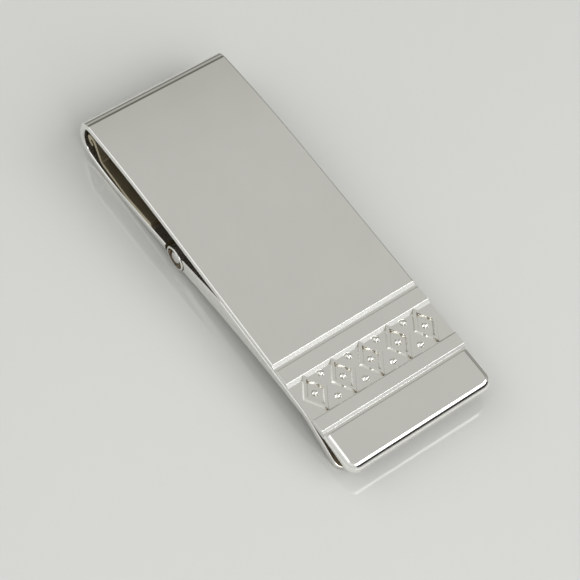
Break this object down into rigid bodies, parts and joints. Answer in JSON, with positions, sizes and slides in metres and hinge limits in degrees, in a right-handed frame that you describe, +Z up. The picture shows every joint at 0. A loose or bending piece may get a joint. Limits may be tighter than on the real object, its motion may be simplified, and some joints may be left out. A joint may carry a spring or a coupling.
{
  "type": "money clip",
  "caption": "Sprung, hinged money clip: a bent silver strip with a decorated front and a leaf that swings on a knuckle hinge and grips folded notes.",
  "frame": {"origin": "midway along and across the clip, on the surface it lies on; the clip rests on the bulge of its bend and on the lip of its leaf", "axes": "+X along the clip from the bend to the decorated front, +Y across it along the hinge, +Z up"},
  "size_m": [0.0549, 0.0198, 0.007],
  "materials": {
    "polished_silver": "mirror-polished sterling silver with fine handling scratches",
    "leaf_silver": "polished sterling silver",
    "knuckle_silver": "polished sterling silver, slightly dulled in the joints",
    "rivet_silver": "polished silver rivets",
    "spring_steel": "bright rolled spring steel",
    "pin_steel": "drawn steel wire, ends peened"
  },
  "bodies": {
    "body": {"clip_body": "polished_silver", "body_knuckle_left": "knuckle_silver", "body_knuckle_right": "knuckle_silver", "leaf_spring": "spring_steel", "spring_rivets": "rivet_silver"},
    "leaf": {"leaf": "leaf_silver", "leaf_knuckle_left": "knuckle_silver", "leaf_knuckle_right": "knuckle_silver", "leaf_cam_knuckle": "knuckle_silver", "hinge_pin": "pin_steel"}
  },
  "joints": [
    {"name": "leaf_hinge", "type": "hinge", "parent": "body", "child": "leaf", "pos_m": [-0.00656, 0, 0.00217], "axis": [0, 1, 0], "range_deg": [0, 95], "stiffness_Nm_per_rad": 0.03, "springref_deg": -20.05}
  ]
}
